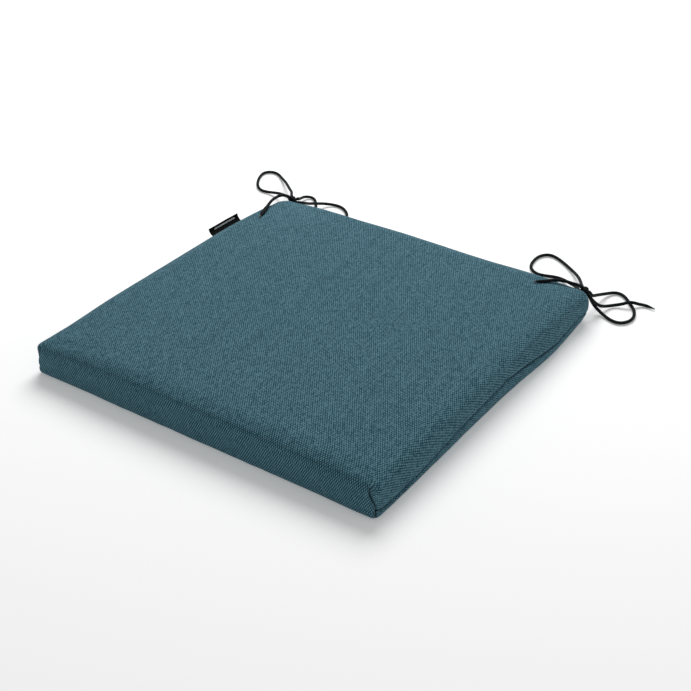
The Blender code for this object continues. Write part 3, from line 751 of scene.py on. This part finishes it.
def side_profile(side, mark, creased):
    """Inset and height of every ring where it passes this mark."""
    station = mark
    if abs(mark) > MIDDLE_HALF:
        stretch = (PAD_HALF - MIDDLE_HALF) / (FLAT_HALF - MIDDLE_HALF)
        station = math.copysign(MIDDLE_HALF + (abs(mark) - MIDDLE_HALF) * stretch, mark)
    table = SEAM_HEIGHTS[SIDES[side]]
    seam = float(np.interp(station, [p for p, _ in table], [h for _, h in table]))
    to_corner = PAD_HALF - abs(station)
    if side == 0:
        crease = 0.5 * step_up(-to_corner, -0.005, 0.0)
        sharp = 0.6 + 0.4 * step_up(to_corner, 0.0, 0.02)
    else:
        crease = 0.5 + 0.5 * step_up(to_corner, 0.0, 0.03)
        sharp = 0.6 * step_up(-to_corner, -0.010, -0.002) if at_front(side, station) else 0.0
        if side == 1:
            foot = (0.5 + 0.3 * step_up(station, 0.03, 0.09)) * step_up(-station, -0.215, -0.185)
            sharp = max(sharp, foot)
    pucker = noise.noise(Vector((station * 130, side * 7.0, 0.0)))
    crease *= CREASE_DEPTH * (1 + 0.2 * pucker) if creased else 0.0
    lip = step_up(-abs(station), -LIP_END, -LIP_STRAIGHT) if side == 2 and creased else 0.0
    pull = 0.0005 * (1 - sharp)

    rows = []
    fullness = TOP_ROLL_FULLNESS + (0.6 * step_up(to_corner, 0.004, 0.030) if side == 0 else 0.0)
    for step in range(ROLL_STEPS + 1):
        angle = math.pi / 2 * step / ROLL_STEPS
        along_roll = math.sin(angle) ** (2 / fullness)
        up_roll = max(math.cos(angle), 0.0) ** (2 / fullness)
        rows.append((TOP_ROLL * (1 - along_roll), SHOULDER + TOP_ROLL_DROP * up_roll))
    offsets = [near + lip * (far - near) for near, far in zip(SEAM_OFFSETS, LIP_OFFSETS)]
    wall_foot = seam + offsets[0]
    for share in (0.3, 0.6, 0.85):
        rows.append((pull * share ** 2, SHOULDER + share * (wall_foot - SHOULDER)))
    for offset, near, fold in zip(offsets, SEAM_OFFSETS, LIP_INSETS):
        groove = crease * bell(abs(near), 0.0011, 1.3)
        rows.append((pull + groove + lip * (fold - pull - groove), seam + offset))
    strip_top = seam + offsets[-1]
    drop, arc = strip_top - FRONT_BOTTOM_RADIUS, FRONT_BOTTOM_RADIUS * math.pi / 2
    for step in range(1, STRIP_STEPS + 1):
        share = step / STRIP_STEPS
        soft = (
            pull + (UNDER_INSET - pull) * (1 - math.cos(share * math.pi / 2)),
            strip_top * (1 - math.sin(share * math.pi / 2)))
        travelled = share * (drop + arc + UNDER_INSET - FRONT_BOTTOM_RADIUS)
        if travelled < drop:
            tight = (0.0, strip_top - travelled)
        elif travelled < drop + arc:
            angle = (travelled - drop) / FRONT_BOTTOM_RADIUS
            tight = tuple(FRONT_BOTTOM_RADIUS * (1 - turn(angle)) for turn in (math.cos, math.sin))
        else:
            tight = (FRONT_BOTTOM_RADIUS + travelled - drop - arc, 0.0)
        rows.append(tuple(soft[i] + sharp * (tight[i] - soft[i]) for i in (0, 1)))
    under_crease = 0.0012 * step_up(to_corner, 0.004, 0.012) if side == 0 and creased else 0.0
    for inset in UNDER_INSETS:
        rows.append((inset, under_crease * bell(inset - UNDER_SEAM_INSET, 0.0005)))
    return rows


def to_dart(mark):
    """Distance along the fabric from a mark to the dart at its own end of the side."""
    return (PAD_HALF - MIDDLE_HALF) * min(1.0, (FLAT_HALF - abs(mark)) / (FLAT_HALF - MIDDLE_HALF))


def dart_form(side, mark, height):
    """Swell beside the darts: a groove on the stitched line, with the front puffed over the side."""
    away = to_dart(mark)
    if not at_front(side, mark):
        right_end = (side == 1) == (mark > 0)
        level = ((height - PUFF_HEIGHT) / PUFF_HALF_HEIGHT) ** 4
        puff = BACK_PUFF * math.exp(-(away / PUFF_REACH) ** 2 - level) * right_end
        return puff - BACK_DART_DEPTH * bell(away, DART_HALF_WIDTH) * step_up(-height, -0.040, -0.032)
    below = step_up(-height, -0.0390, -0.0335)
    groove = -FRONT_DART_DEPTH * bell(away, DART_HALF_WIDTH)
    beside = 0.0006 if side == 0 else -0.0010
    return below * (groove + beside * bell(away - 0.0030, 0.0025))


def painted_crease_shade(side, mark, height, near):
    """Painted shade for the darts and the seam groove: how far the fabric is shut away in a seam at a point,
    from 0 in the open to 1, which darkens the weave towards near black.
    """
    away = to_dart(mark)
    dart = bell(away, 0.0010)
    if at_front(side, mark):
        dart *= step_up(-height, -0.0385, -0.0340) * (0.75 + 0.25 * step_up(height, 0.010, 0.030))
    else:
        dart *= 0.6 * step_up(-height, -0.038, -0.030)
    seam = bell(near, 0.0007) if near is not None else 0.0
    if side == 0:
        seam *= step_up(-away, -0.004, 0.0)
    return max(dart, seam)


def cushion_offset(x, y, z):
    """How far the fabric lies off the plain form: the crown, the low corners and small waves."""
    reach = abs(x) * abs(y) / PAD_HALF ** 2
    crown = CROWN_HEIGHT - CROWN_CORNER_DROP * reach ** 2.0
    for place_x, place_y, width, rise in UNEVEN_FILLING:
        crown += rise * math.exp(-((x - place_x) ** 2 + (y - place_y) ** 2) / width ** 2)
    crown += CROWN_CAP * (1 - (x / PAD_HALF) ** 4) * (1 - (y / PAD_HALF) ** 4)
    wave = 0.00045 * noise.noise(Vector((x * 10, y * 10, 3.7)))
    wave += 0.00018 * noise.noise(Vector((x * 38, y * 38, 8.1)))
    return (crown + wave) * step_up(z, 0.012, 0.040)


def outside_point(side, mark, row, inset, height, creased):
    """A ring's point swelled off the plain form, and its length of fabric along the ring."""
    along, out, travelled = ring_point(side, mark, inset, height)
    x, y = turn_to_side(side, along, out)
    inner = turn_to_side(side, *ring_point(side, mark, inset + 0.001, height)[:2])
    outward = Vector((x - inner[0], y - inner[1]))
    if outward.length > 0:
        outward.normalize()
    low = step_up(-height, -0.034, -0.014)
    swell = 0.0007 * noise.noise(Vector((x * 20, y * 20, height * 30))) * low
    swell += 0.0004 * noise.noise(Vector((x * 75, y * 75, height * 60 + 5))) * low
    swell -= SIDE_PULL[side] * (1 - (mark / PAD_HALF) ** 2) * low
    if side == 1:
        swell += RIGHT_BULGE * bell(y - RIGHT_BULGE_PLACE, RIGHT_BULGE_WIDTH) * low
    if creased and row < UNDER_SEAM_ROW:
        swell += dart_form(side, mark, height)
    if side == 2 and creased and abs(x) < LIP_END:
        swell *= 1 - step_up(-abs(height - ZIP_HEIGHT), -0.012, -0.007)
    swell *= step_up(height, -0.0005, 0.003)
    place = (x + outward[0] * swell, y + outward[1] * swell, height + cushion_offset(x, y, height))
    return place, travelled


def pad_form(shrink=0.0, creased=True):
    """The whole pad's points and faces, with each face's panel and its places on the cloth."""
    marks = side_marks()
    count = len(marks) - 1
    around = 4 * count
    row_count = SEAM_ROW + 4 + STRIP_STEPS + len(UNDER_INSETS)
    points, painted_shades = [], []
    cloth = np.zeros((4, row_count, count + 1, 2))
    ring = np.zeros((row_count, around), int)
    for side in range(4):
        for j in range(count + 1):
            rows = side_profile(side, marks[j], creased)
            down = 0.0
            for k, (inset, height) in enumerate(rows):
                point, travelled = outside_point(side, marks[j], k, inset, height, creased)
                if k:
                    down += math.hypot(inset - rows[k - 1][0], height - rows[k - 1][1])
                cloth[side, k, j] = (travelled + (FRONT_SHEAR * down if side == 0 else 0.0), down)
                if j == count:
                    continue
                ring[k, side * count + j] = len(points)
                points.append(point)
                near = SEAM_OFFSETS[k - SEAM_ROW + 3] if abs(k - SEAM_ROW) < 4 else None
                painted_shades.append(painted_crease_shade(side, marks[j], height, near) if k < UNDER_SEAM_ROW else 0.0)

    faces, panels, places = [], [], []
    for side in range(4):
        for k in range(row_count - 1):
            for j in range(count):
                ends = [side * count + j, (side * count + j + 1) % around]
                behind_zip = side == 2 and creased and k in (SEAM_ROW - 1, SEAM_ROW)
                if behind_zip and max(abs(marks[j]), abs(marks[j + 1])) < LIP_END:
                    continue
                upper = k < SEAM_ROW or (side == 0 and k < UNDER_SEAM_ROW)
                faces.append((*ring[k + 1, ends], *ring[k, ends[::-1]]))
                panels.append(upper)
                corners = []
                for row, column in ((k + 1, j), (k + 1, j + 1), (k, j + 1), (k, j)):
                    travelled, down = cloth[side, row, column]
                    if upper:
                        corners.append(turn_to_side(side, travelled, FLAT_HALF + down))
                    else:
                        left = cloth[side, -1, column, 1] - down
                        u, v = turn_to_side(side, travelled, FLAT_HALF + left)
                        corners.append((u + BOTTOM_CLOTH_SHIFT[0], v + BOTTOM_CLOTH_SHIFT[1]))
                places.append(corners)

    for level, row in ((EDGE_HEIGHT, 0), (0.0, row_count - 1)):
        grid = np.zeros((count + 1, count + 1), int)
        for i in range(count + 1):
            grid[i, 0] = ring[row, i]
            grid[count, i] = ring[row, count + i]
            grid[i, count] = ring[row, 2 * count + count - i]
            grid[0, i] = ring[row, (3 * count + count - i) % around]
        stretch = 1.0 if row == 0 else (PAD_HALF - UNDER_EDGE_INSET) / FLAT_HALF
        for i in range(1, count):
            for j in range(1, count):
                x, y = marks[i] * stretch, marks[j] * stretch
                grid[i, j] = len(points)
                points.append((x, y, level + cushion_offset(x, y, level)))
                painted_shades.append(0.0)
        for i in range(count):
            for j in range(count):
                square = ((i, j), (i + 1, j), (i + 1, j + 1), (i, j + 1))
                if row:
                    square = square[::-1]
                faces.append(tuple(grid[corner] for corner in square))
                panels.append(row == 0)
                shift = (0.0, 0.0) if row == 0 else BOTTOM_CLOTH_SHIFT
                places.append([(marks[a] + shift[0], marks[b] + shift[1]) for a, b in square])
    points = np.array(points)
    points[:, :2] *= (PAD_HALF - shrink) / PAD_HALF
    points[:, 2] = shrink / 2 + points[:, 2] * (EDGE_HEIGHT - shrink) / EDGE_HEIGHT
    return points, faces, panels, places, ring, painted_shades


def turned_in(place, upward):
    """How far the cut edge of a panel goes in behind it, from a place on its border."""
    x, y, z = place
    if y > PAD_HALF - 0.004 and abs(x) < LIP_STRAIGHT + 0.003:
        return Vector((0.0, 0.0, LIP_HEM * upward))
    if z < 0.003 and y < -PAD_HALF + 0.02:
        return Vector((0.0, 0.001, 0.0015))
    return -SEAM_ALLOWANCE * Vector((x, y, 0.0)).normalized()


def panel_object(name, points, faces, places, painted_shades, finish):
    """One panel as a mesh, with its edges turned in, its places on the cloth and its painted crease shade.
    """
    used = sorted({corner for face in faces for corner in face})
    renumber = {old: new for new, old in enumerate(used)}
    mesh = bpy.data.meshes.new(name)
    mesh.from_pydata(
        [tuple(points[i]) for i in used], [], [[renumber[i] for i in face] for face in faces])
    weave = mesh.uv_layers.new(name="weave")
    weave.data.foreach_set("uv", np.array(places).ravel())
    # Painted shade for the darts and seams, which the weave reads as its crease attribute.
    crease = mesh.attributes.new("crease", "FLOAT", "POINT")
    crease.data.foreach_set("value", np.array([painted_shades[i] for i in used]))
    shape = bmesh.new()
    shape.from_mesh(mesh)
    uv = shape.loops.layers.uv["weave"]
    border = [edge for edge in shape.edges if edge.is_boundary]
    upward = 1 if name.endswith("top") else -1
    turned = {}
    for vert in sorted({vert for edge in border for vert in edge.verts}, key=lambda vert: vert.index):
        turned[vert] = shape.verts.new(vert.co + turned_in(vert.co, upward), vert)
    for edge in border:
        near = edge.link_loops[0]
        far = near.link_loop_next
        face = shape.faces.new((far.vert, near.vert, turned[near.vert], turned[far.vert]))
        for corner, source in zip(face.loops, (far, near, near, far)):
            corner[uv].uv = source[uv].uv
    for face in shape.faces:
        face.smooth = True
    shape.to_mesh(mesh)
    shape.free()
    thing = new_object(name, mesh)
    mesh.materials.append(finish)
    finer = thing.modifiers.new("finer", "SUBSURF")
    finer.levels = 1
    finer.render_levels = 1
    return thing


def relax_cover(points, faces, ring):
    """Let the cover swell like tight cloth over foam, held along its seams and where it rests."""
    mesh = bpy.data.meshes.new("swelling")
    mesh.from_pydata([tuple(point) for point in points], [], faces)
    swelling = new_object("swelling", mesh)
    held = swelling.vertex_groups.new(name="held")
    count = ring.shape[1] // 4
    firm = set(ring[SEAM_ROW, count:]) | set(ring[UNDER_SEAM_ROW])
    for corner in range(4):
        firm |= set(ring[3:, corner * count])
    firm |= set(ring[SEAM_ROW - 3:SEAM_ROW + 4, 2 * count:3 * count].ravel())
    firm |= {i for i, point in enumerate(points) if point[2] < 0.0015}
    held.add([int(i) for i in firm], 1.0, "REPLACE")
    cloth = swelling.modifiers.new("cloth", "CLOTH")
    settings = cloth.settings
    for key, value in CLOTH_SETTINGS.items():
        setattr(settings, key, value)
    settings.vertex_group_mass = "held"
    settings.effector_weights.gravity = 0
    cloth.collision_settings.use_collision = False
    cloth.collision_settings.use_self_collision = False
    scene = bpy.context.scene
    cloth.point_cache.frame_start = 1
    cloth.point_cache.frame_end = RELAX_FRAMES
    for frame_number in range(1, RELAX_FRAMES + 1):
        scene.frame_set(frame_number)
    done = swelling.evaluated_get(bpy.context.evaluated_depsgraph_get()).to_mesh()
    moved = np.array([vert.co[:] for vert in done.vertices]) - points
    scene.frame_set(1)
    bpy.data.objects.remove(swelling, do_unlink=True)
    distance = np.linalg.norm(moved, axis=1)
    capped = RELAX_CAP * np.tanh(distance / RELAX_CAP)
    share = np.where(distance > 1e-9, capped / np.maximum(distance, 1e-9), 0.0)
    return points + moved * share[:, None]


def make_cover(finish):
    points, faces, panels, places, ring, painted_shades = pad_form()
    points = relax_cover(points, faces, ring)
    covers = []
    for name, upper in (("cover_top", True), ("cover_bottom", False)):
        chosen = [i for i, panel in enumerate(panels) if panel == upper]
        cover = panel_object(
            name, points, [faces[i] for i in chosen], [places[i] for i in chosen], painted_shades, finish)
        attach(cover, "pad")
        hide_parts(f"{name}_panel")
        covers.append(cover)
    return covers


def make_foam(finish):
    points, faces, _, places, _, painted_shades = pad_form(shrink=FOAM_SHRINK, creased=False)
    foam = panel_object("foam_slab", points, faces, places, painted_shades, finish)
    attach(foam, "pad")
    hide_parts("foam_core")


# The tab

def make_label(finish):
    """A ribbon folded double and sewn into the side seam, its fold curling up and outward."""
    there = [step / LABEL_STEPS for step in range(LABEL_STEPS + 1)]
    inner = LABEL_HALF_THICKNESS - LABEL_LAYER
    outline = [(share * reach, thickness) for shares, reach, thickness in (
        (there, 1.0, -LABEL_HALF_THICKNESS), (there[::-1], 1.0, LABEL_HALF_THICKNESS),
        (there, LABEL_INNER_REACH, inner), (there[::-1], LABEL_INNER_REACH, -inner))
        for share in shares]
    shape = bmesh.new()
    rows, stations = [], []
    for j in range(LABEL_ROWS + 1):
        y, reach, rise = (
            first + j / LABEL_ROWS * (last - first) for first, last in zip(*LABEL_ENDS))
        stations.append(y)
        row = []
        for along_tab, thickness in outline:
            wave = 0.0005 * noise.noise(Vector((y * 45, along_tab * 2.0, 2.0))) * along_tab
            out = reach * (1 - (1 - along_tab) ** 1.7)
            height = rise * along_tab ** 2 + wave
            slope_out, slope_up = 1.7 * reach * (1 - along_tab) ** 0.7 + 0.002, 2 * rise * along_tab
            norm = math.hypot(slope_out, slope_up)
            fullness = 1.0 + 0.35 * math.sin(along_tab * math.pi)
            side = thickness * fullness / norm
            row.append(shape.verts.new((
                LABEL_ROOT[0] - out + side * slope_up, y, LABEL_ROOT[1] + height + side * slope_out)))
        rows.append(row)
    count = len(outline)
    length = LABEL_ENDS[0][1] * 1.15
    skin(shape, rows, lambda row, column: (
        (1 - outline[column % count][0]) * length, stations[row]), capped=False)
    for row in (rows[0], list(reversed(rows[-1]))):
        half = count // 2
        for i in range(half - 1):
            shape.faces.new((row[i], row[i + 1], row[count - 2 - i], row[count - 1 - i]))
    bmesh.ops.recalc_face_normals(shape, faces=shape.faces)
    label = mesh_object("label_ribbon", shape, finish)
    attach(label, "pad")
    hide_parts("label_tab")


# The zip

def make_tape(name, side, finish):
    """A strip of woven tape with a thicker edge, lying in soft waves behind the fabric."""
    shape = bmesh.new()
    profile = []
    for face_side in (1, -1):
        spots = (0.0, 0.10, 0.14, 0.5, 0.9, 0.97, 1.0)
        for share in (spots if face_side > 0 else reversed(spots)):
            thin = 0.0 if 0.12 > share else 0.00004
            profile.append((share, face_side, thin))
    middle, half = (TAPE_FRONT + TAPE_BACK) / 2, (TAPE_FRONT - TAPE_BACK) / 2
    rings = []
    for i in range(TAPE_COLUMNS + 1):
        x = -TAPE_HALF + 2 * TAPE_HALF * i / TAPE_COLUMNS
        ring = []
        for share, face_side, thin in profile:
            wave = -0.00012 * (1 + math.sin(x * 90 + side)) * share
            z = ZIP_HEIGHT + side * (TAPE_SPAN[0] + share * (TAPE_SPAN[1] - TAPE_SPAN[0]))
            ring.append(shape.verts.new((x, middle + face_side * (half - thin) + wave, z)))
        rings.append(ring)
    skin(shape, rings, lambda row, column: rings[row][column % len(profile)].co.xz)
    bmesh.ops.recalc_face_normals(shape, faces=shape.faces)
    tape = mesh_object(f"zip_tape_strip_{name}", shape, finish)
    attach(tape, "pad")
    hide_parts(f"zip_tape_{name}")


def make_coil(name, side, finish):
    """The filament of one side of the zip, wound along the edge of its tape."""
    turns = 2 * COIL_HALF / COIL_PITCH - 2
    points = []
    for share in np.linspace(0, 1, int(turns * 12)):
        angle = math.tau * turns * share + (math.pi if side > 0 else 0.0)
        points.append((
            -COIL_HALF + COIL_PITCH + share * turns * COIL_PITCH,
            COIL_CENTRE[0] + COIL_RADII[0] * math.cos(angle),
            ZIP_HEIGHT + side * (COIL_CENTRE[1] + COIL_RADII[1] * math.sin(angle))))
    coil = tube(f"zip_teeth_{name}", points, [COIL_WIRE] * len(points), finish, THREAD_SIDES)
    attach(coil, "pad")
    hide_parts(f"zip_coil_{name}")


def make_stop(name, side, finish):
    """A staple pressed round both coils: two rounded legs and a pinched middle."""
    profile = []
    for step in range(32):
        angle = math.tau * step / 32
        up, out = (
            math.copysign(abs(turn(angle)) ** 0.55, turn(angle)) for turn in (math.sin, math.cos))
        pinch = 1 - 0.28 * bell(up, 0.25)
        profile.append((out * pinch, up))
    centre_y, half_y = (STOP_INNER + STOP_OUTER) / 2, (STOP_OUTER - STOP_INNER) / 2
    shape = bmesh.new()
    rings = []
    for share, size in ((0.0, 0.80), (0.04, 0.93), (0.12, 1.0), (0.88, 1.0), (0.96, 0.93), (1.0, 0.80)):
        x = side * (COIL_HALF + 0.0003 + STOP_LENGTH * share)
        rings.append([shape.verts.new((
            x, centre_y + half_y * size * out,
            ZIP_HEIGHT + STOP_HALF_HEIGHT * (1 - (1 - size) * 0.4) * up))
            for out, up in profile])
    skin(shape, rings)
    bmesh.ops.recalc_face_normals(shape, faces=shape.faces)
    stop = mesh_object(f"zip_staple_{name}_end", shape, finish)
    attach(stop, "pad")
    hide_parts(f"zip_stop_{name}_end")


def rounded_copy(source, name, body, finish, width):
    """A copy of a part with its edges eased, as a casting's are."""
    shape = bmesh.new()
    shape.from_mesh(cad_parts[source].data)
    bmesh.ops.transform(shape, matrix=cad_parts[source].matrix_world, verts=shape.verts)
    bmesh.ops.remove_doubles(shape, verts=shape.verts, dist=0.000002)
    bmesh.ops.dissolve_limit(shape, angle_limit=math.radians(1), verts=shape.verts, edges=shape.edges)
    sharp = [
        edge for edge in shape.edges
        if len(edge.link_faces) == 2 and edge.calc_face_angle() > math.radians(35)]
    bmesh.ops.bevel(
        shape, geom=sharp, offset=width, segments=2, profile=0.5, affect="EDGES", clamp_overlap=True)
    for face in shape.faces:
        face.smooth = True
    copy = mesh_object(name, shape, finish)
    copy.data.set_sharp_from_angle(angle=math.radians(40))
    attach(copy, body)
    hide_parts(source)


def make_stitching(covers, finish):
    """A row of stitches above and below the zip, each lying on the fabric under it."""
    trees = cover_trees(covers)
    routes = []
    for side in (1, -1):
        x = -STITCH_END
        while x < STITCH_END:
            stitch = []
            for share in np.linspace(0, 1, 6):
                spot = Vector((
                    float(x + share * STITCH_LENGTH), STITCH_SEARCH_FROM, ZIP_HEIGHT + side * STITCH_OFFSET))
                hits = [tree.ray_cast(spot, Vector((0.0, -1.0, 0.0)))[0] for tree in trees]
                surface = max((hit.y for hit in hits if hit is not None), default=PAD_HALF)
                sink = 0.00035 * (1 - math.sin(share * math.pi)) ** 3
                stitch.append((spot.x, surface + 0.00014 - sink, spot.z))
            routes.append(stitch)
            x += STITCH_LENGTH + STITCH_GAP
    stitches = [
        tube("stitch", stitch, [STITCH_RADIUS] * len(stitch), finish, THREAD_SIDES)
        for stitch in routes]
    joined = bmesh.new()
    for stitch in stitches:
        joined.from_mesh(stitch.data)
        used = stitch.data
        bpy.data.objects.remove(stitch)
        bpy.data.meshes.remove(used)
    stitching = mesh_object("zip_topstitching", joined, finish)
    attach(stitching, "pad")


def make_zip(covers):
    tape, metal = tape_finish(), metal_finish()
    coil = thread_finish("zip_coil_nylon", (0.010, 0.030, 0.040), 0.0009, 0.38)
    for name, side in (("upper", 1), ("lower", -1)):
        make_tape(name, side, tape)
        make_coil(name, side, coil)
    for name, side in (("closed", 1), ("open", -1)):
        make_stop(name, side, metal)
    rounded_copy("zip_slider", "zip_slider_casting", "zip_slider_body", metal, 0.00022)
    rounded_copy("zip_pull", "zip_pull_leaf", "zip_pull_body", metal, 0.00022)
    make_stitching(covers, thread_finish("stitch_thread", (0.018, 0.070, 0.092), 0.0005, 0.6))


make_camera()
make_stage()
# The first weave colour is the painted shade of the gaps between yarns.
covers = make_cover(basket_weave(
    "cover_weave", (0.005, 0.024, 0.034), (0.140, 0.296, 0.366), (0.006, 0.056, 0.082)))
make_ties(covers, braid_finish("tie_cord_braid"))
make_foam(foam_finish())
make_label(label_finish())
make_zip(covers)
